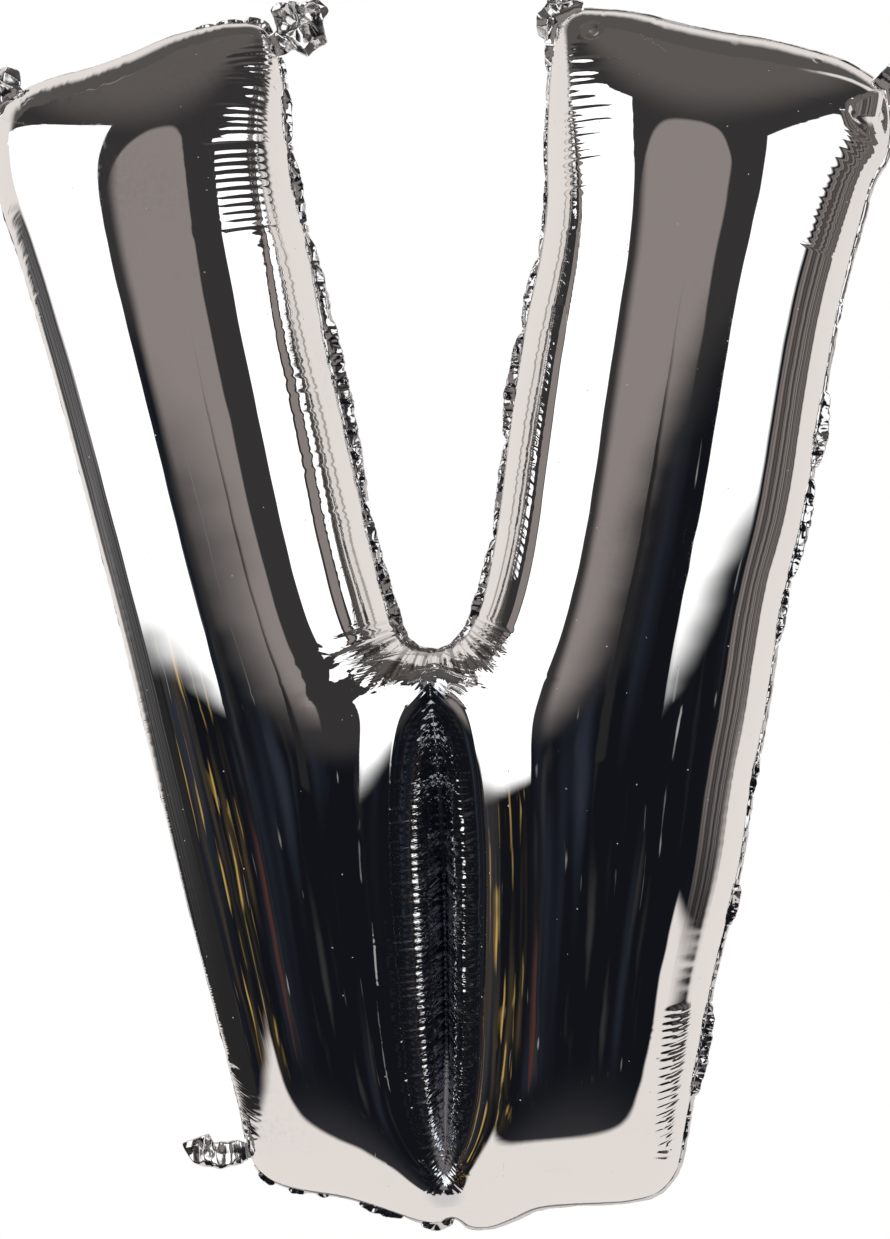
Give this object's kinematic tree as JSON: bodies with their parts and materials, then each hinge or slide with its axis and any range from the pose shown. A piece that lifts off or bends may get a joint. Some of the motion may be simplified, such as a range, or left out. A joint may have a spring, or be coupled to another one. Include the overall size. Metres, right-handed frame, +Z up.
{
  "type": "letter foil balloon",
  "caption": "Inflated mirror foil balloon shaped as a letter V, with a heat-sealed flange, a weld up the foot, corner tabs with hanging holes and a filling neck.",
  "frame": {"origin": "middle of the letter, in the plane of the seam, on the mount air", "axes": "+Z up the letter, +X to the right as the front is read, front towards -Y, seam plane at y = 0"},
  "size_m": [0.657, 0.2128, 0.8646],
  "materials": {
    "mirror_film": "metallised plastic film, mirror smooth and puckered at the seams",
    "seal_foil": "two films sealed flat together, crinkled",
    "valve_plastic": "clear milky film of the valve"
  },
  "bodies": {
    "root": {"front_film": "mirror_film", "back_film": "mirror_film", "centre_weld": "seal_foil", "seam_outer_left": "seal_foil", "seam_top_left": "seal_foil", "seam_inner_left": "seal_foil", "seam_crotch": "seal_foil", "seam_inner_right": "seal_foil", "seam_top_right": "seal_foil", "seam_outer_right": "seal_foil", "seam_foot": "seal_foil", "tab_left_outer": "seal_foil", "tab_left_inner": "seal_foil", "tab_right_inner": "seal_foil", "tab_right_outer": "seal_foil", "inflation_neck": "seal_foil", "valve_film": "valve_plastic"}
  },
  "joints": []
}
